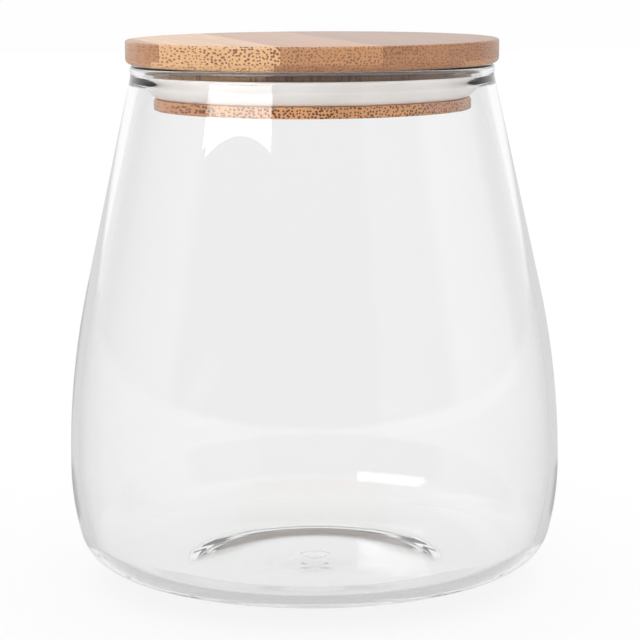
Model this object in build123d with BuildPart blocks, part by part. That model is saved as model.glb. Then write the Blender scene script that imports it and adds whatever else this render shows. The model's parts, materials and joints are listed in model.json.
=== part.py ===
"""Glass storage canister with a laminated bamboo lid and a silicone sealing ring.

The jar is one glass body. It rests on a narrow ring inside a shallow sloping base,
and has a tight round heel, a belly low on the wall, a long taper and a rounded rim.

The lid is turned from a board of four bamboo plies. Each ply is a row of strips
glued edge to edge, and every strip is a solid of its own. The turned shape is a
flange that rests on the rim, and a plug with a groove that holds the sealing ring.

The origin is on the axis at the resting surface, +Z is up, sizes in millimetres.
The strips run along Y, turned by strip_turn about the axis.
"""

import os
from math import acos, atan2, cos, degrees, hypot, radians, sin, tan

from build123d import *

# ---- driving dimensions ------------------------------------------------------
# glass jar
rim_height = 138.55
rim_radius = 48.55
rim_round = 1.2
mouth_radius = 45.2
mouth_depth = 2.8  # the upright stretch of the mouth
throat_drop = 6.0  # from the rim's top down to where the inner wall swings in to the mouth
neck_radius = 48.45  # where the taper ends, under the rim
neck_drop = 3.2  # from the rim's top down to there
rest_radius = 36.5  # outer edge of the flat ring that the jar stands on
rest_width = 1.5
punt_height = 1.5  # hollow under the base, at the axis
punt_slope = 0.18  # where the hollow leaves the ring
floor_thickness = 2.8  # over the resting ring
floor_rise = 0.7  # the floor's middle over its edge
side_wall = 2.4  # at the belly

# bends of the outer wall from the resting ring up: radius, and the slope it reaches
rest_bend = 22.0
rest_slope = 12.0
base_bend = 150.0
base_slope = 18.1
heel_bend = 11.3
heel_slope = 75.3
low_wall_bend = 72.4
high_wall_bend = 222.2

# bamboo lid
seat_gap = 0.05  # between the rim and the flange
flange_radius = 49.7
flange_thickness = 6.3
flange_top_round = 0.6
flange_bottom_round = 1.5
plug_radius = 42.3
plug_depth = 12.15  # below the flange
plug_disc_thickness = 3.0
plug_edge_round = 0.5
groove_radius = 39.6
groove_drop = 2.2  # below the flange

# bamboo board
strip_width = 25.2
strip_turn = 15.0
top_ply = 4.6
inner_ply = 4.85

# sealing ring
ring_gap = 0.08  # running gap to the groove, on every side
ring_band = 1.5  # thickness of the band in the groove
lip_gap = 0.15  # between the lip and the mouth
lip_thickness = 1.0
lip_drop = 0.1  # from the band's top down to the lip's tip

# ---- derived places ----------------------------------------------------------
lid_seat = rim_height + seat_gap
lid_top = lid_seat + flange_thickness
plug_bottom = lid_seat - plug_depth
groove_top = lid_seat - groove_drop
groove_bottom = plug_bottom + plug_disc_thickness


def reach(bends):
    """How far outwards these bends carry the wall; each is a radius and a slope in degrees."""
    slopes = [0, *[slope for _, slope in bends]]
    turns = [sin(radians(after)) - sin(radians(before)) for before, after in zip(slopes, slopes[1:])]
    return sum(radius * turn for (radius, _), turn in zip(bends, turns))


def taper_slope(belly, high_bend, top):
    """How far, in degrees, the high bend turns the wall from upright for its tangent to reach top."""
    to_top = (top[0] - (belly[0] - high_bend), top[1] - belly[1])
    return degrees(atan2(to_top[1], to_top[0]) - acos(high_bend / hypot(*to_top)))


def wall_line(start, bends, high_bend, top):
    """Adds one side of the jar's wall to the open line, from a level start up to top.

    Each bend is an arc tangent to the one before it, and the last of them ends upright.
    The high bend turns the wall on to the taper, a straight line that reaches top.
    Returns the belly, where the wall is upright.
    """
    place = start
    slope = 0
    for radius, slope_reached in bends:
        heading = (cos(radians(slope)), sin(radians(slope)))
        place = JernArc(place, heading, radius, slope_reached - slope) @ 1
        slope = slope_reached
    taper = taper_slope((place.X, place.Y), high_bend, top)
    Line(JernArc(place, (0, 1), high_bend, taper) @ 1, top)
    return (place.X, place.Y)


def round_corner(radius, height, size):
    """Rounds the corner of the open sketch that lies at this radius and height."""
    fillet(vertices().sort_by_distance((radius, height))[0], size)


# ---- glass jar ---------------------------------------------------------------
outer_bends = [
    (rest_bend, rest_slope),
    (base_bend, base_slope),
    (heel_bend, heel_slope),
    (low_wall_bend, 90),
]
inner_bends = [
    (rest_bend - floor_thickness, rest_slope),
    (base_bend - floor_thickness, base_slope),
    (0, heel_slope),
    (low_wall_bend - side_wall, 90),
]
heel_gap = reach(outer_bends) - side_wall - reach(inner_bends)
heel_turn = sin(radians(heel_slope)) - sin(radians(base_slope))
inner_bends[2] = (heel_gap / heel_turn, heel_slope)

neck = (neck_radius, rim_height - neck_drop)
rim_foot = (rim_radius, rim_height - 1.4 * rim_round)
mouth_foot = (mouth_radius, rim_height - mouth_depth)
rest_edge = (rest_radius, 0)
rest_inner_edge = (rest_radius - rest_width, 0)
punt_top = (0, punt_height)
floor_edge = (rest_radius, floor_thickness)
floor_middle = (0, floor_thickness + floor_rise)

with BuildPart() as glass_jar:
    with BuildSketch(Plane.XZ):
        with BuildLine():
            belly = wall_line(rest_edge, outer_bends, high_wall_bend, neck)
            taper = radians(taper_slope(belly, high_wall_bend, neck))
            under_neck = neck[1] - side_wall * sin(taper) - (rim_height - throat_drop)
            throat = (
                neck_radius - side_wall * cos(taper) + under_neck * tan(taper),
                rim_height - throat_drop,
            )
            Spline(neck, rim_foot, tangents=[(-0.22, 1), (0, 1)])
            Polyline(rim_foot, (rim_radius, rim_height), (mouth_radius, rim_height), mouth_foot)
            wall_line(floor_edge, inner_bends, high_wall_bend - side_wall, throat)
            Spline(throat, mouth_foot, tangents=[(-sin(taper), cos(taper)), (0, 1)])
            Spline(floor_edge, floor_middle, tangents=[(-1, 0), (-1, 0)])
            Line(floor_middle, punt_top)
            Spline(punt_top, rest_inner_edge, tangents=[(1, 0), (1, -punt_slope)])
            Line(rest_inner_edge, rest_edge)
        make_face()
        round_corner(rim_radius, rim_height, rim_round)
        round_corner(mouth_radius, rim_height, rim_round)
    revolve(axis=Axis.Z)
glass_jar.part.label = "glass_jar"

# ---- sealing ring ------------------------------------------------------------
ring_inner = groove_radius + ring_gap
ring_bottom = groove_bottom + ring_gap
ring_top = groove_top - ring_gap
band_outer = ring_inner + ring_band
lip_outer = mouth_radius - lip_gap
lip_inner = lip_outer - lip_thickness
lip_top = ring_top - lip_drop
lip_shoulder = lip_top - lip_thickness / 2

with BuildPart() as sealing_ring:
    with BuildSketch(Plane.XZ):
        with BuildLine():
            bowl_foot = (band_outer, ring_bottom)
            bowl_root = (band_outer, ring_bottom + 1.5 * lip_thickness)
            Spline(bowl_foot, (lip_outer, lip_shoulder), tangents=[(1, 0.5), (0, 1)])
            ThreePointArc(
                (lip_outer, lip_shoulder),
                (lip_outer - lip_thickness / 2, lip_top),
                (lip_inner, lip_shoulder),
            )
            Spline((lip_inner, lip_shoulder), bowl_root, tangents=[(0, -1), (-1, -0.5)])
            Polyline(
                bowl_root,
                (band_outer, ring_top),
                (ring_inner, ring_top),
                (ring_inner, ring_bottom),
                bowl_foot,
            )
        make_face()
    revolve(axis=Axis.Z)
sealing_ring.part.label = "sealing_ring"

# ---- bamboo lid, as turned ---------------------------------------------------
with BuildPart() as turned_lid:
    with BuildSketch(Plane.XZ):
        with BuildLine():
            Polyline(
                (0, lid_top),
                (flange_radius, lid_top),
                (flange_radius, lid_seat),
                (plug_radius, lid_seat),
                (plug_radius, groove_top),
                (groove_radius, groove_top),
                (groove_radius, groove_bottom),
                (plug_radius, groove_bottom),
                (plug_radius, plug_bottom),
                (0, plug_bottom),
                close=True,
            )
        make_face()
        round_corner(flange_radius, lid_top, flange_top_round)
        round_corner(flange_radius, lid_seat, flange_bottom_round)
        round_corner(plug_radius, groove_bottom, plug_edge_round)
        round_corner(plug_radius, plug_bottom, plug_edge_round)
    revolve(axis=Axis.Z)

# ---- bamboo strips -----------------------------------------------------------
board = Plane((0, 0, 0), x_dir=(cos(radians(strip_turn)), sin(radians(strip_turn)), 0))
plug_ply = lid_top - top_ply - 2 * inner_ply - plug_bottom
plies = [  # strip name, ply thickness, its largest radius, one glue line's place across the board
    ("lid_top_strip", top_ply, flange_radius, 4.9),
    ("lid_flange_strip", inner_ply, flange_radius, 3.5),
    ("lid_core_strip", inner_ply, groove_radius, -8.6),
    ("lid_plug_strip", plug_ply, plug_radius, -7.0),
]
lid_strips = []
ply_top = lid_top
for name, thickness, reach, glue_line in plies:
    ply_bottom = ply_top - thickness
    glue_lines = [glue_line + step * strip_width for step in range(-3, 4)]
    glue_lines = [place for place in glue_lines if abs(place) < reach]
    edges = [-reach - strip_width, *glue_lines, reach + strip_width]
    for number, (near, far) in enumerate(zip(edges, edges[1:]), start=1):
        with BuildPart() as strip:
            add(turned_lid.part)
            with BuildSketch(board.offset(ply_bottom)):
                with Locations(((near + far) / 2, 0)):
                    Rectangle(far - near, 3 * reach)
            extrude(amount=thickness, mode=Mode.INTERSECT)
        strip.part.label = f"{name}_{number}"
        lid_strips.append(strip.part)
    ply_top = ply_bottom

# ---- files -------------------------------------------------------------------
os.makedirs("parts", exist_ok=True)
for piece in [glass_jar.part, sealing_ring.part, *lid_strips]:
    export_step(piece, f"parts/{piece.label}.step")
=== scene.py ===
"""Looks for the lidded glass canister: clear glass, silicone, laminated bamboo, a pale studio.

Every piece is a surface worked out as whole arrays in metres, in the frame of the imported
part: the canister stands on the plane z = 0 and its axis is Z. Profiles are rows of
(radius, height). The bamboo strips run along Y, turned by BOARD_TURN about the axis.
"""

import json
from math import acos, atan2, cos, hypot, pi, radians, sin

import bmesh
import bpy
import numpy as np
from mathutils import Euler, Matrix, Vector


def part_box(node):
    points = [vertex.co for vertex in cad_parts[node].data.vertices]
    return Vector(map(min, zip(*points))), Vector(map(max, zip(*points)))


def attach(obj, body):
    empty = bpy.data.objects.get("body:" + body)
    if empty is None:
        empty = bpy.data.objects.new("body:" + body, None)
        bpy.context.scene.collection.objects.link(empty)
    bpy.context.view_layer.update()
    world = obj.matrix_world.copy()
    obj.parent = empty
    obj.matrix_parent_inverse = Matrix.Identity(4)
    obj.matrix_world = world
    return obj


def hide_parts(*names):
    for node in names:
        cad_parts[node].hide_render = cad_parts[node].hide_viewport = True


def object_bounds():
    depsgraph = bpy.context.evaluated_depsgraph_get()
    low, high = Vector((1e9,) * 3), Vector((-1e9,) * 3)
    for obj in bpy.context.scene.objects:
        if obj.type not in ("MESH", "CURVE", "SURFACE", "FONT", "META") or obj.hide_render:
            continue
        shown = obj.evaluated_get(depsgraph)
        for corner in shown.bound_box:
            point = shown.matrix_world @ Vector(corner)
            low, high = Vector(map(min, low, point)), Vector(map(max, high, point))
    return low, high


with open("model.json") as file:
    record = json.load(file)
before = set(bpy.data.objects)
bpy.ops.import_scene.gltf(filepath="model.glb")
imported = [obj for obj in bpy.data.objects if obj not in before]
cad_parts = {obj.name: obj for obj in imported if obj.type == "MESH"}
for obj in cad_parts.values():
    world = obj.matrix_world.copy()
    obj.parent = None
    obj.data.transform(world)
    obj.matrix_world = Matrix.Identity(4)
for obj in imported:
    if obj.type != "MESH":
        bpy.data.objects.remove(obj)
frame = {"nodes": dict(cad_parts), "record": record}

bl_info = {
    "name": "Glass canister looks",
    "version": (1, 0, 0),
    "blender": (4, 5, 0),
    "location": "3D View > Sidebar > Canister",
    "description": "Makes the canister's glass, silicone and bamboo, and the studio round it",
    "category": "Object",
}

MM = 0.001
SAME = 1e-7  # points closer than this are one point
BOARD_TURN = radians(15)
CAD_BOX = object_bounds()
JAR_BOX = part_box("glass_jar")
RING_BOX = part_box("sealing_ring")
SLOTS = {part["node"]: part["material_slot"] for part in frame["record"]["subparts"]}

# The jar's outer wall from the resting ring up: each bend's radius and the slope it reaches.
WALL_BENDS = (
    (22.0 * MM, radians(12.0)),
    (150.0 * MM, radians(18.1)),
    (11.3 * MM, radians(75.3)),
    (72.4 * MM, radians(90.0)),
)
HIGH_BEND = 222.2 * MM  # above the belly, where the wall starts to lean in
NECK_DROP = 3.2 * MM  # from the rim's top down to where the taper ends
MOUTH_DEPTH = 2.8 * MM  # upright stretch of the mouth
THROAT_DROP = 6.0 * MM  # from the rim's top down to where the throat starts to narrow
HOLLOW_SLOPE = 0.18  # fall of the hollow's surface beside the resting ring
TAPER_STEPS = 72
JAR_STEPS = 216

# The lid's turned outline. Heights count from the seat, where its flange faces the rim.
SEAT_GAP = 0.05 * MM
FLANGE_RADIUS = 49.7 * MM
FLANGE_UNDER_ROUND = 1.5 * MM
FLANGE_TOP_ROUND = 0.6 * MM
PLUG_RADIUS = 42.3 * MM
PLUG_DEPTH = 12.15 * MM
PLUG_EDGE_ROUND = 0.5 * MM
DISC_THICKNESS = 3.0 * MM
GROOVE_RADIUS = 39.6 * MM
GROOVE_DROP = 2.2 * MM
RING_FIT = 0.08 * MM  # between the groove's wall and the sealing ring's band

LIGHT_DISTANCE = 0.9
GLASS_BOUNCES = 48  # light passes many glass faces before it leaves the jar

# The bamboo's fibre bundles.
BUNDLES_PER_METRE = 1180.0
BUNDLE_WANDER = 1.6 * MM


# ---- sizes and colours -------------------------------------------------------
def length(label, text, default):
    """A length property in metres."""
    return bpy.props.FloatProperty(
        name=label, description=text, default=default, min=0, unit="LENGTH", precision=5
    )


def amount(label, text, default, top=10.0):
    """A plain number property from 0 to top."""
    return bpy.props.FloatProperty(name=label, description=text, default=default, min=0, max=top)


def colour(label, text, default):
    """A colour property."""
    return bpy.props.FloatVectorProperty(
        name=label, description=text, default=default, size=3, subtype="COLOR", min=0, max=1
    )


class CanisterJar(bpy.types.PropertyGroup):
    """The glass jar."""

    rim_height: length("Rim height", "The rim's top over the table", JAR_BOX[1].z)
    rim_radius: length("Rim radius", "Outer radius of the rim", 48.55 * MM)
    rim_round: length("Rim round", "Rounding of the rim's two edges", 1.2 * MM)
    mouth_radius: length("Mouth radius", "Inner radius of the rim", 45.2 * MM)
    neck_radius: length("Neck radius", "Where the taper ends, under the rim", 48.45 * MM)
    rest_radius: length("Resting radius", "Outer edge of the resting ring", 36.5 * MM)
    rest_width: length("Resting width", "Width of the flat resting ring", 1.5 * MM)
    hollow: length("Hollow", "Height of the hollow under the base, at the axis", 1.5 * MM)
    floor: length("Floor", "Thickness of glass over the resting ring", 2.8 * MM)
    floor_rise: length("Floor rise", "The floor's middle over its edge", 0.7 * MM)
    side: length("Side", "Thickness of glass at the belly", 2.4 * MM)
    mark_radius: length("Mark radius", "Radius of the moulding mark under the base", 3.6 * MM)
    mark_height: length("Mark height", "Height of the moulding mark", 0.12 * MM)
    mark_width: length("Mark width", "Half the width of the moulding mark's ridge", 0.5 * MM)
    glass: colour("Glass", "Tint that light takes on in the glass", (0.963, 0.965, 0.963))
    ripple: length("Ripple", "Depth of the slow waves in the glass", 0.03 * MM)


class CanisterSeal(bpy.types.PropertyGroup):
    """The silicone sealing ring."""

    band: length("Band", "Thickness of the band in the lid's groove", 1.5 * MM)
    lip: length("Lip", "Thickness of the lip", 1.0 * MM)
    lip_drop: length("Lip drop", "From the band's top down to the lip's tip", 0.1 * MM)
    round: length("Round", "Rounding of the band's edges", 0.25 * MM)
    silicone: colour("Silicone", "Warm white of the silicone", (0.95, 0.905, 0.88))


class CanisterLid(bpy.types.PropertyGroup):
    """The bamboo lid."""

    easing: length("Easing", "How far each strip's edges are eased at a glue line", 0.05 * MM)
    pale: colour("Pale", "The palest strips", (0.52, 0.29, 0.135))
    tan: colour("Tan", "The middle strips", (0.36, 0.165, 0.065))
    brown: colour("Brown", "The brown strips", (0.30, 0.13, 0.052))
    bundle: colour("Fibre bundles", "The dark fibre bundles", (0.105, 0.034, 0.010))
    # Painted light: the plug's strips, seen through the glass, are made lighter than the same
    # bamboo elsewhere, in place of the light that falls on them there.
    plug_painted_light: amount("Plug", "Lightness of the plug's strips", 2.1)
    # Painted shade: the strips behind the sealing ring, in the shaded gap between the flange and
    # the ring's lip, are made darker than the same bamboo.
    core_painted_shade: amount("Core", "Lightness of the strips behind the sealing ring", 0.22)


class CanisterStudio(bpy.types.PropertyGroup):
    """Floor, surroundings, lights and camera."""

    floor_glow: amount("Floor glow", "Light of the pale floor's own", 0.845)
    floor_shade: amount("Floor shade", "How much of the floor's tone can fall in shadow", 0.07)
    floor_reflected: amount("Floor reflected", "Share of the glow that reflections get", 0.65)
    floor_matte: amount("Floor on matte", "Share of the glow that matte surfaces get", 1.6)
    front: amount("Front", "Brightness of the surroundings on the camera's side", 0.1)
    sides: amount("Sides", "Brightness of the surroundings at the sides", 0.5)
    matte: amount("Matte", "Brightness that matte surfaces get from all round", 2.0)
    back: amount("Back", "Brightness of the surroundings behind the canister", 1.0)
    ceiling: amount("Ceiling", "Brightness overhead", 0.8)
    key_light: amount("Key light", "Radiance of the window-like light at the left", 4.5, 100)
    fill_light: amount("Fill light", "Radiance of the wide light at the right", 0.2, 100)


# ---- lines in the plane of radius and height ---------------------------------
def bend_line(start, slope, reached, radius):
    """An arc that leaves start at one slope and ends at the other.

    Each point is the arc's centre plus its radius times (sin, -cos) of the slope there.
    """
    steps = 3 + int(abs(reached - slope) / radians(1.5))
    slopes = np.linspace(slope, reached, steps)
    centre = np.array(start) + radius * np.array([-sin(slope), cos(slope)])
    return centre + radius * np.column_stack([np.sin(slopes), -np.cos(slopes)])


def round_line(centre, radius, begin, end, steps=9):
    """An arc about a centre: centre plus radius times (cos, sin) of an angle from begin to end."""
    angles = np.linspace(begin, end, steps)
    return np.array(centre) + radius * np.column_stack([np.cos(angles), np.sin(angles)])


def eased_line(start, end, start_pull, end_pull, steps=24):
    """A cubic from start to end that leaves along one pull and arrives along the other.

    With t from 0 to 1 it is start (2t3 - 3t2 + 1) + start_pull (t3 - 2t2 + t)
    + end (3t2 - 2t3) + end_pull (t3 - t2).
    """
    t = np.linspace(0, 1, steps)[:, None]
    leave = (2 * t**3 - 3 * t**2 + 1) * start + (t**3 - 2 * t**2 + t) * start_pull
    return leave + (3 * t**2 - 2 * t**3) * end + (t**3 - t**2) * end_pull


def wall_line(start, bends, high_bend, top):
    """One side of the jar's wall from the resting ring up to top, and its taper.

    The bends, each a radius and the slope it reaches, are tangent arcs that turn the wall
    from level to upright. The high bend turns it on by the taper, and a straight line
    tangent to that arc reaches top.
    """
    lines = []
    place = np.array(start)
    slope = 0.0
    for radius, reached in bends:
        lines.append(bend_line(place, slope, reached, radius))
        place = lines[-1][-1]
        slope = reached
    to_top = np.array(top) - place + (high_bend, 0)
    taper = atan2(to_top[1], to_top[0]) - acos(high_bend / hypot(*to_top))
    lines.append(bend_line(place, slope, slope + taper, high_bend))
    share = np.linspace(0, 1, TAPER_STEPS)[:, None]
    lines.append(lines[-1][-1] * (1 - share) + np.array(top) * share)
    return np.vstack(lines), taper


def joined(*lines):
    """Lines end to end as one row of points, with repeated points left out."""
    points = np.vstack(lines)
    step = np.hypot(*np.diff(points, axis=0).T)
    return points[np.r_[True, step > SAME]]


# ---- meshes ------------------------------------------------------------------
def surface(name, grid, close_rows=False, close_columns=False, caps=False, crease=None):
    """A mesh object over a grid of points, four neighbours to a face.

    Rows and columns may close on themselves, and the first and last row may be capped
    unless they have shrunk to a line. Points that coincide, such as a pole, are merged;
    faces then turn outwards.
    """
    rows, columns = grid.shape[:2]
    index = np.arange(rows * columns).reshape(rows, columns)
    if close_rows:
        index = np.vstack([index, index[:1]])
    if close_columns:
        index = np.hstack([index, index[:, :1]])
    corners = (index[:-1, :-1], index[1:, :-1], index[1:, 1:], index[:-1, 1:])
    faces = np.stack(corners, axis=-1).reshape(-1, 4).tolist()
    if caps:
        ends = [index[0, :columns][::-1].tolist(), index[-1, :columns].tolist()]
        widths = [np.linalg.norm(np.ptp(grid[row, :, :2], axis=0)) for row in (0, -1)]
        faces += [end for end, width in zip(ends, widths) if width > 0.01 * MM]
    mesh = bpy.data.meshes.new(name)
    mesh.from_pydata(grid.reshape(-1, 3).tolist(), [], faces)
    shell = bmesh.new()
    shell.from_mesh(mesh)
    bmesh.ops.remove_doubles(shell, verts=shell.verts, dist=SAME)
    bmesh.ops.recalc_face_normals(shell, faces=shell.faces)
    shell.to_mesh(mesh)
    shell.free()
    mesh.shade_smooth()
    if crease:
        mesh.set_sharp_from_angle(angle=crease)
    piece = bpy.data.objects.new(name, mesh)
    bpy.context.scene.collection.objects.link(piece)
    return piece


def turned(name, profile, steps, closed=False, crease=None):
    """A profile spun about Z: each point is (radius cos a, radius sin a, height)."""
    angles = np.arange(steps) * 2 * pi / steps
    radius, height = profile[:, 0, None], profile[:, 1, None]
    grid = np.stack([radius * np.cos(angles), radius * np.sin(angles), height + 0 * angles], -1)
    return surface(name, grid, close_rows=closed, close_columns=True, crease=crease)


# ---- node helpers ------------------------------------------------------------
def put(tree, kind, inputs=None, **settings):
    """A new node. Each input is given a value, or linked when it's given a socket."""
    node = tree.nodes.new(kind)
    for name, value in settings.items():
        setattr(node, name, value)
    for name, value in (inputs or {}).items():
        if isinstance(value, bpy.types.NodeSocket):
            tree.links.new(value, node.inputs[name])
        else:
            node.inputs[name].default_value = value
    return node


def maths(tree, operation, first, second=0.0, clamp=False):
    """The result socket of one sum on two numbers or sockets."""
    node = put(tree, "ShaderNodeMath", {0: first, 1: second}, operation=operation)
    node.use_clamp = clamp
    return node.outputs[0]


def ramp(tree, value, low, high, to_low=0.0, to_high=1.0):
    """A smooth step: value from low to high becomes to_low to to_high."""
    inputs = {
        "Value": value,
        "From Min": low,
        "From Max": high,
        "To Min": to_low,
        "To Max": to_high,
    }
    return put(tree, "ShaderNodeMapRange", inputs, interpolation_type="SMOOTHSTEP").outputs[0]


def stretched(tree, place, scales):
    """The place with each of its parts multiplied by its own scale."""
    node = put(tree, "ShaderNodeVectorMath", {0: place, 1: scales}, operation="MULTIPLY")
    return node.outputs[0]


def noise(tree, place, scales, detail=2.0, output="Fac"):
    """Noise over the stretched place."""
    inputs = {"Vector": stretched(tree, place, scales), "Scale": 1.0, "Detail": detail}
    return put(tree, "ShaderNodeTexNoise", inputs).outputs[output]


def mix_colours(tree, factor, first, second):
    """A blend of two colours."""
    inputs = {0: factor, 6: first, 7: second}
    return put(tree, "ShaderNodeMix", inputs, data_type="RGBA").outputs[2]


def mix_numbers(tree, factor, first, second):
    """A blend of two numbers."""
    return put(tree, "ShaderNodeMix", {0: factor, 2: first, 3: second}).outputs[0]


def new_group(name, inputs, outputs):
    """An empty shader node group with named sockets; returns it and its two end nodes."""
    group = bpy.data.node_groups.new(name, "ShaderNodeTree")
    for label, kind in inputs:
        group.interface.new_socket(name=label, in_out="INPUT", socket_type=kind)
    for label, kind in outputs:
        group.interface.new_socket(name=label, in_out="OUTPUT", socket_type=kind)
    return group, group.nodes.new("NodeGroupInput"), group.nodes.new("NodeGroupOutput")


def new_finish(name):
    """A material with a bare Principled shader; returns it, its tree and its shader."""
    finish = bpy.data.materials.new(name)
    finish.use_nodes = True
    return finish, finish.node_tree, finish.node_tree.nodes["Principled BSDF"]


def socket_values(shader, values):
    """Sets plain values on the shader's own sockets."""
    for name, value in values.items():
        shader.inputs[name].default_value = value


# ---- bamboo ------------------------------------------------------------------
def bamboo_grain_group():
    """Bamboo as fibre bundles along Y in paler ground.

    Bundles are cells across and up the strip, stretched far along it, so a cut across the
    strip shows dots and a cut along it shows streaks. Fine fibres and slow changes of
    tone lie over them. Facing is the surface's own direction: a cut across is darker.
    """
    inputs = [
        ("Place", "NodeSocketVector"),
        ("Facing", "NodeSocketVector"),
        ("Ground", "NodeSocketColor"),
        ("Bundle", "NodeSocketColor"),
        ("Bundle Size", "NodeSocketFloat"),
        ("Bundle Depth", "NodeSocketFloat"),
    ]
    outputs = [
        ("Color", "NodeSocketColor"),
        ("Roughness", "NodeSocketFloat"),
        ("Height", "NodeSocketFloat"),
    ]
    tree, start, end = new_group("bamboo_grain", inputs, outputs)
    place = start.outputs["Place"]
    drift = noise(tree, place, (110, 22, 110), output="Color")
    wander = {0: drift, 1: (BUNDLE_WANDER,) * 3, 2: place}
    wandered = put(tree, "ShaderNodeVectorMath", wander, operation="MULTIPLY_ADD").outputs[0]
    parts = put(tree, "ShaderNodeSeparateXYZ", {0: wandered}).outputs
    cells = put(tree, "ShaderNodeCombineXYZ", {0: parts["X"], 1: parts["Z"]}).outputs[0]
    bundles = put(
        tree,
        "ShaderNodeTexVoronoi",
        {"Vector": cells, "Scale": BUNDLES_PER_METRE, "Randomness": 0.72},
        voronoi_dimensions="2D",
    ).outputs["Distance"]
    patches = ramp(tree, noise(tree, place, (300, 8, 300)), 0.3, 0.7, 0.75, 1.2)
    size = maths(tree, "MULTIPLY", start.outputs["Bundle Size"], patches)
    edge = maths(tree, "SUBTRACT", bundles, size)
    dots = ramp(tree, edge, -0.09, 0.08, 1.0, 0.0)
    dots = maths(tree, "MULTIPLY", dots, start.outputs["Bundle Depth"], clamp=True)
    fibres = noise(tree, place, (2600, 18, 2600), detail=4.0)
    slow = noise(tree, place, (55, 3.5, 170))
    facing = {0: start.outputs["Facing"], 1: (-sin(BOARD_TURN), cos(BOARD_TURN), 0)}
    along = put(tree, "ShaderNodeVectorMath", facing, operation="DOT_PRODUCT")
    cut = maths(tree, "ABSOLUTE", along.outputs["Value"])
    dots = maths(tree, "MULTIPLY", dots, ramp(tree, cut, 0.0, 0.6, 0.4, 1.0))
    tone = maths(tree, "ADD", ramp(tree, fibres, 0.3, 0.7, 0.88, 1.06), -0.1)
    tone = maths(tree, "ADD", tone, maths(tree, "MULTIPLY", slow, 0.22))
    cut_tone = maths(tree, "SUBTRACT", 1.0, maths(tree, "MULTIPLY", cut, 0.08))
    tone = maths(tree, "MULTIPLY", tone, cut_tone)
    blended = mix_colours(tree, dots, start.outputs["Ground"], start.outputs["Bundle"])
    toned = put(tree, "ShaderNodeHueSaturation", {"Value": tone, "Color": blended}).outputs[0]
    rough = maths(tree, "ADD", maths(tree, "MULTIPLY", fibres, 0.18), 0.33)
    rough = maths(tree, "ADD", rough, maths(tree, "MULTIPLY", cut, 0.08))
    height = maths(tree, "SUBTRACT", maths(tree, "MULTIPLY", fibres, 0.6), dots)
    tree.links.new(toned, end.inputs["Color"])
    tree.links.new(rough, end.inputs["Roughness"])
    tree.links.new(height, end.inputs["Height"])
    return tree


def bamboo_finish(name, group, ground, bundle, shift, span, sizes, depth, coat):
    """Oiled bamboo for one strip.

    The bundles' size goes from the first of sizes to the second across the strip's span.
    Depth is how dark the bundles are, and shift moves the pattern so no two strips match.
    """
    finish, tree, shader = new_finish(name)
    own = put(tree, "ShaderNodeTexCoord")
    to_board = {"Vector": own.outputs["Object"], "Rotation": (0, 0, -BOARD_TURN)}
    on_board = put(tree, "ShaderNodeMapping", to_board).outputs[0]
    across = put(tree, "ShaderNodeSeparateXYZ", {0: on_board}).outputs[0]
    moved = put(tree, "ShaderNodeVectorMath", {0: on_board, 1: shift}, operation="ADD").outputs[0]
    grain = put(tree, "ShaderNodeGroup", node_tree=group)
    grain.inputs["Ground"].default_value = (*ground, 1)
    grain.inputs["Bundle"].default_value = (*bundle, 1)
    grain.inputs["Bundle Depth"].default_value = depth
    tree.links.new(ramp(tree, across, *span, *sizes), grain.inputs["Bundle Size"])
    tree.links.new(moved, grain.inputs["Place"])
    tree.links.new(own.outputs["Normal"], grain.inputs["Facing"])
    relief = {"Height": grain.outputs["Height"], "Strength": 0.35, "Distance": 0.08 * MM}
    bump = put(tree, "ShaderNodeBump", relief)
    tree.links.new(grain.outputs["Color"], shader.inputs["Base Color"])
    tree.links.new(grain.outputs["Roughness"], shader.inputs["Roughness"])
    tree.links.new(bump.outputs[0], shader.inputs["Normal"])
    socket_values(shader, {"IOR": 1.5, "Coat Weight": coat, "Coat Roughness": 0.2})
    return finish


class CANISTER_OT_lid(bpy.types.Operator):
    """Makes every bamboo strip of the lid as a solid with eased edges and its own grain"""

    bl_idname = "canister.lid"
    bl_label = "Bamboo lid strips"

    def execute(self, context):
        sizes = context.scene.canister_lid
        group = bamboo_grain_group()
        draw = np.random.default_rng(7)
        tones = {"bamboo_pale": sizes.pale, "bamboo_tan": sizes.tan, "bamboo_brown": sizes.brown}
        for node in sorted(name for name in frame["nodes"] if name.startswith("lid_")):
            piece, span = lid_strip(node, sizes.easing)
            look = {
                "shift": draw.uniform(-1, 1, 3).tolist(),
                "sizes": draw.uniform(0.26, 0.3, 2).tolist(),
                "depth": draw.uniform(0.6, 0.75),
                "coat": 0.4,
            }
            # A random tone for each strip; below, the plug's strips also get painted light and the
            # core's strips painted shade.
            tone_and_painted_light = draw.uniform(0.93, 1.07)
            if node == "lid_top_strip_2":  # cut near the culm's skin, so its bundles are bold
                look.update(sizes=(0.25, 0.34), depth=0.85)
            if node.startswith("lid_plug"):
                look.update(sizes=(0.31, 0.35), depth=0.95)
                # painted light: the plug's ground is made lighter, standing in for the light it
                # gets through the glass
                tone_and_painted_light *= sizes.plug_painted_light
            if node.startswith("lid_core"):
                look.update(coat=0.0)
                # painted shade: the core's ground is made darker, standing in for the shade in the
                # groove
                tone_and_painted_light *= sizes.core_painted_shade
            ground = [min(1.0, part * tone_and_painted_light) for part in tones[SLOTS[node]]]
            name = f"{node}_finish"
            finish = bamboo_finish(name, group, ground, sizes.bundle, span=span, **look)
            piece.data.materials.append(finish)
            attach(piece, "lid")
            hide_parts(node)
        return {"FINISHED"}


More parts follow.
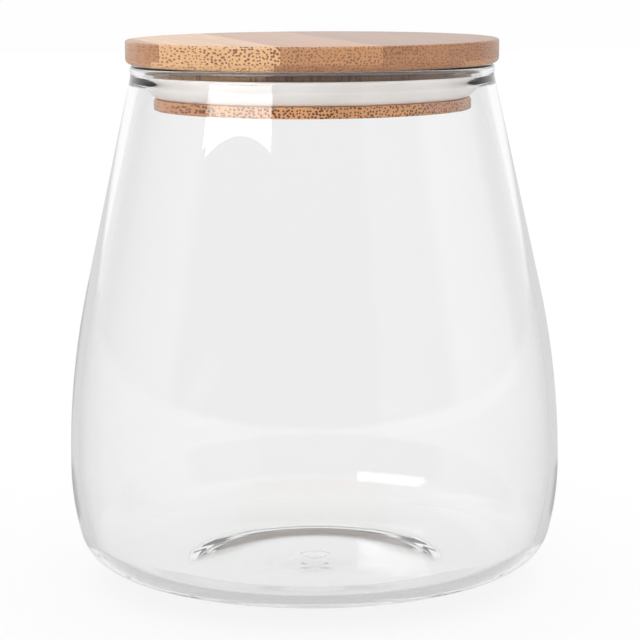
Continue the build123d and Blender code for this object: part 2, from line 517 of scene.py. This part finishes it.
def lid_outline(low, high):
    """The lid's turned outline between two heights, as (radius, height) from low to high.

    It steps out from the plug's disc, round the groove, to the flange; the flange and the
    disc have rounded edges. The seat is the rim's top plus the gap that stands for contact.
    """
    seat = JAR_BOX[1].z + SEAT_GAP
    top = CAD_BOX[1].z
    bottom = seat - PLUG_DEPTH
    disc_top = bottom + DISC_THICKNESS
    groove_top = seat - GROOVE_DROP
    edge, under, over = PLUG_EDGE_ROUND, FLANGE_UNDER_ROUND, FLANGE_TOP_ROUND
    outline = joined(
        round_line((PLUG_RADIUS - edge, bottom + edge), edge, -pi / 2, 0),
        round_line((PLUG_RADIUS - edge, disc_top - edge), edge, 0, pi / 2),
        [(GROOVE_RADIUS, disc_top), (GROOVE_RADIUS, groove_top)],
        [(PLUG_RADIUS, groove_top), (PLUG_RADIUS, seat)],
        round_line((FLANGE_RADIUS - under, seat + under), under, -pi / 2, 0),
        round_line((FLANGE_RADIUS - over, top - over), over, 0, pi / 2),
    )
    inside = outline[(outline[:, 1] > low + SAME) & (outline[:, 1] < high - SAME)]
    ends = []
    for level, last in ((low, False), (high, True)):
        on_level = outline[np.abs(outline[:, 1] - level) <= SAME]
        if len(on_level):
            ends.append(on_level[-1] if last else on_level[0])
        else:
            ends.append((np.interp(level, outline[:, 1], outline[:, 0]), level))
    return joined([ends[0]], inside, [ends[1]])


def strip_limits(node):
    """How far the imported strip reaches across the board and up, each as (least, most)."""
    packed = frame["nodes"][node].data
    corners = np.empty(len(packed.vertices) * 3)
    packed.vertices.foreach_get("co", corners)
    corners = corners.reshape(-1, 3)
    across = corners[:, 0] * cos(BOARD_TURN) + corners[:, 1] * sin(BOARD_TURN)
    heights = corners[:, 2]
    return (across.min(), across.max()), (heights.min(), heights.max())


def eased_outline(outline, easing):
    """The outline with its lowest and highest edge cut back by the easing.

    A point is added beside an edge where the next point is more than two easings away.
    """
    lowest, highest = outline[0], outline[-1]
    none = outline[:0]
    upright_low = outline[1, 1] > lowest[1] + 2 * easing
    upright_high = outline[-2, 1] < highest[1] - 2 * easing
    return joined(
        [lowest + (-easing, 0)],
        [lowest + (0, easing)] if upright_low else none,
        outline[1:-1],
        [highest + (0, -easing)] if upright_high else none,
        [highest + (-easing, 0)],
    )


def strip_rows(radii, near, far, easing):
    """The places across the board where a strip's outline is taken.

    They are the radii times the sine of every 1.25 degrees, which spaces them evenly
    round the turned edge, thinned where they crowd, with the two ends and the line where
    the easing stops beside each.
    """
    crowded, beside_end = 0.04 * MM, 0.02 * MM
    turns = np.radians(np.arange(-90, 90.1, 1.25))
    ends = [near, near + easing, far - easing, far]
    rows = np.r_[ends, np.outer(radii, np.sin(turns)).ravel()]
    rows = np.unique(np.round(rows[(rows >= near) & (rows <= far)], 7))
    rows = rows[np.r_[True, np.diff(rows) > crowded]]
    between = rows[(rows > near + beside_end) & (rows < far - beside_end)]
    return np.unique(np.r_[ends, between])


def lid_strip(node, easing):
    """One strip: the lid's turned shape between two glue planes and two ply planes.

    At each place x across the board the strip's outline is every (y, z) whose distance
    hypot(x, y) is inside the turned radius at z, so y is plus or minus
    sqrt(radius(z)^2 - x^2). Where the radius is less than x, the outline stops at the
    height where they are equal. Rows at many x make the surface, closed by two flat ends.
    Within an easing of an end the outline shrinks by what is left of the easing.
    """
    (near, far), (low, high) = strip_limits(node)
    radius, height = eased_outline(lid_outline(low, high), easing).T
    widest = int(np.argmax(radius))
    below = np.arange(len(radius)) <= widest
    lines = []
    for x in strip_rows(np.unique(np.round(radius, 6)), near, far, easing):
        gap = max(0.0, easing - (x - near), easing - (far - x))
        side = abs(x)
        reach = radius - gap
        z = np.clip(height, low + gap, high - gap)
        rising = np.maximum.accumulate(reach[: widest + 1])
        falling = np.minimum.accumulate(reach[widest:])
        start = np.interp(side, rising, z[: widest + 1])
        stop = np.interp(-side, -falling, z[widest:])
        z = np.where(reach < side, np.where(below, start, stop), z)
        y = np.sqrt(np.maximum(reach**2 - side**2, 0))
        line = np.column_stack([np.full(len(z), x), y, z])
        lines.append(np.vstack([line, line[::-1] * (1, -1, 1)]))
    turn = np.array(Matrix.Rotation(BOARD_TURN, 3, "Z"))
    grid = np.array(lines) @ turn.T
    piece = surface(f"{node}_wood", grid, close_columns=True, caps=True, crease=radians(28))
    return piece, (near, far)


# ---- glass jar ---------------------------------------------------------------
def jar_profile(sizes):
    """The jar's section from the axis under the base, over the rim, to the axis inside.

    The outer and the inner wall turn through the same slopes. A bend's radius times the
    change in the sine of the slope is how far it goes outwards, and the inner heel's radius
    is the one with which those sums leave the belly its thickness. The moulding mark adds
    its height times exp(-d^2), d being the distance from its circle in units of its width.
    """
    outer_radii = np.array([radius for radius, _ in WALL_BENDS])
    slopes = [slope for _, slope in WALL_BENDS]
    steps = np.diff(np.sin([0.0, *slopes]))
    heel = 2
    inner_radii = outer_radii - (sizes.floor, sizes.floor, 0, sizes.side)
    inner_radii[heel] = 0
    inner_radii[heel] = (outer_radii @ steps - sizes.side - inner_radii @ steps) / steps[heel]
    top = sizes.rim_height
    rim_round = sizes.rim_round
    neck = np.array([sizes.neck_radius, top - NECK_DROP])
    rim_foot = np.array([sizes.rim_radius, top - 1.4 * rim_round])
    rim_height = rim_foot[1] - neck[1]
    mouth_foot = np.array([sizes.mouth_radius, top - MOUTH_DEPTH])
    outer, taper = wall_line((sizes.rest_radius, 0.0), WALL_BENDS, HIGH_BEND, neck)
    leaning = np.array([-sin(taper), cos(taper)])
    beside_neck = neck - sizes.side * leaning[::-1] * (1, -1)
    throat_height = top - THROAT_DROP
    throat = beside_neck + leaning * (throat_height - beside_neck[1]) / leaning[1]
    inner_foot = (sizes.rest_radius, sizes.floor)
    inner_bends = list(zip(inner_radii, slopes))
    inner, _ = wall_line(inner_foot, inner_bends, HIGH_BEND - sizes.side, throat)
    swing = mouth_foot[1] - throat_height
    throat_line = eased_line(throat, mouth_foot, leaning * swing, np.array([0, swing]), 20)
    rest_inner = sizes.rest_radius - sizes.rest_width
    under = eased_line(
        np.array([0, sizes.hollow]),
        np.array([rest_inner, 0]),
        np.array([rest_inner, 0]),
        np.array([rest_inner, -HOLLOW_SLOPE * rest_inner]),
        steps=72,
    )
    from_mark = (under[:, 0] - sizes.mark_radius) / sizes.mark_width
    under[:, 1] += sizes.mark_height * np.exp(-(from_mark**2))
    inner_floor = eased_line(
        np.array([sizes.rest_radius, sizes.floor]),
        np.array([0, sizes.floor + sizes.floor_rise]),
        np.array([-sizes.rest_radius, 0]),
        np.array([-sizes.rest_radius, 0]),
        steps=40,
    )
    return joined(
        under,
        outer,
        eased_line(neck, rim_foot, leaning * rim_height, np.array([0, rim_height]), 16),
        round_line((sizes.rim_radius - rim_round, top - rim_round), rim_round, 0, pi / 2),
        round_line((sizes.mouth_radius + rim_round, top - rim_round), rim_round, pi / 2, pi),
        throat_line[::-1],
        inner[::-1],
        inner_floor,
    )


def glass_finish(sizes):
    """Clear glass, a touch darker at the base, with slow waves left by blowing."""
    finish, tree, shader = new_finish("clear_glass_finish")
    place = put(tree, "ShaderNodeTexCoord").outputs["Object"]
    waves = noise(tree, place, (30, 30, 16), detail=1.0)
    bump = put(tree, "ShaderNodeBump", {"Height": waves, "Strength": 1.0, "Distance": sizes.ripple})
    tree.links.new(bump.outputs[0], shader.inputs["Normal"])
    height = put(tree, "ShaderNodeSeparateXYZ", {0: place}).outputs["Z"]
    over_base = ramp(tree, height, 0.0, 20 * MM)
    base_tint = [part - 0.005 for part in sizes.glass]
    tint = mix_colours(tree, over_base, (*base_tint, 1), (*sizes.glass, 1))
    tree.links.new(tint, shader.inputs["Base Color"])
    clear = {"Transmission Weight": 1.0, "IOR": 1.5, "Roughness": 0.0, "Metallic": 0.0}
    socket_values(shader, clear)
    return finish


class CANISTER_OT_jar(bpy.types.Operator):
    """Makes the glass jar as one spun surface"""

    bl_idname = "canister.jar"
    bl_label = "Glass jar"

    def execute(self, context):
        sizes = context.scene.canister_jar
        jar = turned("glass_jar_body", jar_profile(sizes), JAR_STEPS)
        jar.data.materials.append(glass_finish(sizes))
        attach(jar, "jar")
        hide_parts("glass_jar")
        return {"FINISHED"}


# ---- sealing ring ------------------------------------------------------------
def ring_profile(sizes):
    """The ring's section: an upright band with rounded edges, and a lip like a bowl's wall.

    The lip leaves the band's foot, swings out and rises to a round tip beside the band's
    top; its outer and its inner side are one cubic each.
    """
    low, high = RING_BOX[0].z, RING_BOX[1].z
    inner = GROOVE_RADIUS + RING_FIT
    outer = inner + sizes.band
    lip_outer = RING_BOX[1].x
    lip_inner = lip_outer - sizes.lip
    tip = sizes.lip / 2
    shoulder = high - sizes.lip_drop - tip
    soft = sizes.round
    foot = np.array([outer, low])
    root = np.array([outer, low + 1.5 * sizes.lip])
    bowl = lip_outer - outer
    swing = np.array([bowl, 0.5 * bowl])
    upwards = np.array([0, shoulder - low])
    lip_out = eased_line(foot, np.array([lip_outer, shoulder]), 1.3 * swing, 1.1 * upwards)
    lip_in = eased_line(np.array([lip_inner, shoulder]), root, -0.8 * upwards, -swing)
    return joined(
        lip_out,
        round_line((lip_outer - tip, shoulder), tip, 0, pi),
        lip_in[1:],
        round_line((outer - soft, high - soft), soft, 0, pi / 2, 5),
        round_line((inner + soft, high - soft), soft, pi / 2, pi, 5),
        round_line((inner + soft, low + soft), soft, pi, 1.5 * pi, 5),
    )


def silicone_finish(sizes):
    """Translucent warm-white silicone with a faint mottle and a satin surface."""
    finish, tree, shader = new_finish("silicone_finish")
    place = put(tree, "ShaderNodeTexCoord").outputs["Object"]
    mottle = noise(tree, place, (90, 90, 160), detail=4.0)
    darker = [part * 0.93 for part in sizes.silicone]
    tint = mix_colours(tree, ramp(tree, mottle, 0.3, 0.7), (*darker, 1), (*sizes.silicone, 1))
    fine = noise(tree, place, (2200, 2200, 2200), detail=2.0)
    bump = put(tree, "ShaderNodeBump", {"Height": fine, "Strength": 0.2, "Distance": 0.03 * MM})
    tree.links.new(tint, shader.inputs["Base Color"])
    tree.links.new(ramp(tree, mottle, 0.3, 0.7, 0.34, 0.44), shader.inputs["Roughness"])
    tree.links.new(bump.outputs[0], shader.inputs["Normal"])
    values = {
        "Subsurface Weight": 0.35,
        "Subsurface Radius": (1.0, 0.85, 0.7),
        "Subsurface Scale": 1.5 * MM,
        "IOR": 1.42,
    }
    socket_values(shader, values)
    return finish


class CANISTER_OT_seal(bpy.types.Operator):
    """Makes the silicone sealing ring as one spun surface"""

    bl_idname = "canister.seal"
    bl_label = "Sealing ring"

    def execute(self, context):
        sizes = context.scene.canister_seal
        profile = ring_profile(sizes)
        ring = turned("sealing_ring_body", profile, 192, closed=True, crease=radians(50))
        ring.data.materials.append(silicone_finish(sizes))
        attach(ring, "seal")
        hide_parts("sealing_ring")
        return {"FINISHED"}


# ---- studio ------------------------------------------------------------------
def studio_floor(sizes):
    """A wide pale floor with light of its own, so that only a little of its tone can shade.

    Reflections get a smaller share of that light and matte surfaces a larger one, so the
    glass keeps its edges and the pieces inside it are lit.
    """
    half = 3.0
    under = -0.02 * MM
    outline = ((-half, -half), (half, -half), (half, half), (-half, half))
    corners = [(x, y, under) for x, y in outline]
    mesh = bpy.data.meshes.new("studio_floor")
    mesh.from_pydata(corners, [], [(0, 1, 2, 3)])
    floor = bpy.data.objects.new("studio_floor", mesh)
    bpy.context.scene.collection.objects.link(floor)
    finish, tree, shader = new_finish("studio_floor_finish")
    values = {
        "Base Color": (sizes.floor_shade, sizes.floor_shade, sizes.floor_shade, 1),
        "Roughness": 0.8,
        "Specular IOR Level": 0.2,
        "Emission Color": (1, 1, 1, 1),
        "Emission Strength": sizes.floor_glow,
    }
    socket_values(shader, values)
    path = put(tree, "ShaderNodeLightPath").outputs
    turns = maths(tree, "SUBTRACT", path["Ray Depth"], path["Transmission Depth"])
    reflected = maths(tree, "GREATER_THAN", turns, 0.5)
    matte = maths(tree, "GREATER_THAN", path["Diffuse Depth"], 0.5)
    share = mix_numbers(tree, reflected, 1.0, sizes.floor_reflected)
    share = mix_numbers(tree, matte, share, sizes.floor_matte)
    glow = maths(tree, "MULTIPLY", share, sizes.floor_glow)
    tree.links.new(glow, shader.inputs["Emission Strength"])
    mesh.materials.append(finish)


def surroundings(sizes):
    """A white room that is dim on the camera's side.

    Straight views and views through the glass see plain white. Reflections get the room:
    its brightness follows the direction's Y, and Z overhead. Matte surfaces are lit with
    one even brightness. In the world a ray's depth is one more than its turns.
    """
    white = 0.99
    world = bpy.data.worlds.new("surroundings")
    bpy.context.scene.world = world
    world.use_nodes = True
    tree = world.node_tree
    way = put(tree, "ShaderNodeTexCoord").outputs["Generated"]
    parts = put(tree, "ShaderNodeSeparateXYZ", {0: way}).outputs
    front = ramp(tree, parts["Y"], -0.42, -0.28, sizes.front, sizes.sides)
    back = ramp(tree, parts["Y"], 0.5, 0.85, 0.0, sizes.back - sizes.sides)
    overhead = ramp(tree, parts["Z"], 0.45, 0.75)
    room = mix_numbers(tree, overhead, maths(tree, "ADD", front, back), sizes.ceiling)
    path = put(tree, "ShaderNodeLightPath").outputs
    on_matte = maths(tree, "GREATER_THAN", path["Diffuse Depth"], 0.5)
    room = mix_numbers(tree, on_matte, room, sizes.matte)
    turns = maths(tree, "SUBTRACT", path["Ray Depth"], path["Transmission Depth"])
    seen = maths(tree, "MAXIMUM", path["Is Camera Ray"], path["Is Transmission Ray"])
    straight = maths(tree, "MULTIPLY", maths(tree, "LESS_THAN", turns, 1.5), seen)
    background = tree.nodes["Background"]
    background.inputs["Color"].default_value = (1, 1, 1, 1)
    tree.links.new(mix_numbers(tree, straight, room, white), background.inputs["Strength"])


def soft_light(name, radiance, bearing, width, low, high, lean=0.0, on_matte=True):
    """An upright rectangular light that faces the canister from LIGHT_DISTANCE away.

    Bearing is measured from the camera's side towards the right; the light spans the
    width, from the height low to the height high, and leans in its own plane. Its power
    is radiance times pi times its area. With on_matte off it shows in reflections only.
    """
    lamp = bpy.data.lights.new(name, "AREA")
    lamp.shape = "RECTANGLE"
    lamp.size, lamp.size_y = width, high - low
    lamp.energy = radiance * pi * width * (high - low)
    holder = bpy.data.objects.new(name, lamp)
    bpy.context.scene.collection.objects.link(holder)
    away = LIGHT_DISTANCE
    holder.location = (away * sin(bearing), -away * cos(bearing), (low + high) / 2)
    upright = Matrix.Rotation(bearing, 3, "Z") @ Matrix.Rotation(pi / 2, 3, "X")
    holder.rotation_euler = (upright @ Matrix.Rotation(lean, 3, "Z")).to_euler()
    holder.visible_camera = False
    holder.visible_diffuse = on_matte


def studio_camera():
    """The camera, a little above the lid and looking slightly down and to the right."""
    down, right, roll = radians(9.2246), radians(0.15624), radians(-0.31)
    lens = bpy.data.cameras.new("camera")
    lens.lens = 132.02
    lens.sensor_width = 36.0
    camera = bpy.data.objects.new("camera", lens)
    bpy.context.scene.collection.objects.link(camera)
    camera.location = (0, -0.6285, 0.17105)
    tilt = Euler((pi / 2 - down, 0, 0)).to_matrix()
    aim = Matrix.Rotation(-right, 3, "Z") @ tilt @ Matrix.Rotation(roll, 3, "Z")
    camera.rotation_euler = aim.to_euler()
    bpy.context.scene.camera = camera


class CANISTER_OT_studio(bpy.types.Operator):
    """Makes the floor, the surroundings, the lights and the camera"""

    bl_idname = "canister.studio"
    bl_label = "Studio"

    def execute(self, context):
        sizes = context.scene.canister_studio
        studio_floor(sizes)
        surroundings(sizes)
        window = {"bearing": radians(-47.5), "width": 0.69, "low": 0.408, "high": 1.05}
        soft_light("key_light", sizes.key_light, **window, lean=radians(6.5), on_matte=False)
        wall = {"bearing": radians(71), "width": 1.54, "low": 0.0, "high": 1.5}
        soft_light("fill_light", sizes.fill_light, **wall)
        studio_camera()
        scene = context.scene
        scene.view_settings.view_transform = "Standard"
        scene.cycles.max_bounces = GLASS_BOUNCES
        scene.cycles.glossy_bounces = GLASS_BOUNCES
        scene.cycles.transmission_bounces = GLASS_BOUNCES
        scene.cycles.transparent_max_bounces = GLASS_BOUNCES
        return {"FINISHED"}


class CANISTER_PT_panel(bpy.types.Panel):
    """Sizes, colours and makers of the canister"""

    bl_idname = "CANISTER_PT_panel"
    bl_label = "Canister"
    bl_space_type = "VIEW_3D"
    bl_region_type = "UI"
    bl_category = "Canister"

    def draw(self, context):
        for group, operator in GROUPS.items():
            box = self.layout.box()
            settings = getattr(context.scene, group)
            for name in settings.__annotations__:
                box.prop(settings, name)
            box.operator(operator.bl_idname)


GROUPS = {
    "canister_jar": CANISTER_OT_jar,
    "canister_seal": CANISTER_OT_seal,
    "canister_lid": CANISTER_OT_lid,
    "canister_studio": CANISTER_OT_studio,
}
SETTINGS = {
    "canister_jar": CanisterJar,
    "canister_seal": CanisterSeal,
    "canister_lid": CanisterLid,
    "canister_studio": CanisterStudio,
}


def register():
    """Registers the classes and hangs the settings on the scene."""
    for kind in (*SETTINGS.values(), *GROUPS.values(), CANISTER_PT_panel):
        bpy.utils.register_class(kind)
    for name, kind in SETTINGS.items():
        setattr(bpy.types.Scene, name, bpy.props.PointerProperty(type=kind))


def unregister():
    """Takes the settings off the scene and unregisters the classes."""
    for name in SETTINGS:
        delattr(bpy.types.Scene, name)
    for kind in (CANISTER_PT_panel, *GROUPS.values(), *SETTINGS.values()):
        bpy.utils.unregister_class(kind)


def main():
    register()
    bpy.ops.canister.jar()
    bpy.ops.canister.seal()
    bpy.ops.canister.lid()
    bpy.ops.canister.studio()


if __name__ == "__main__":
    main()
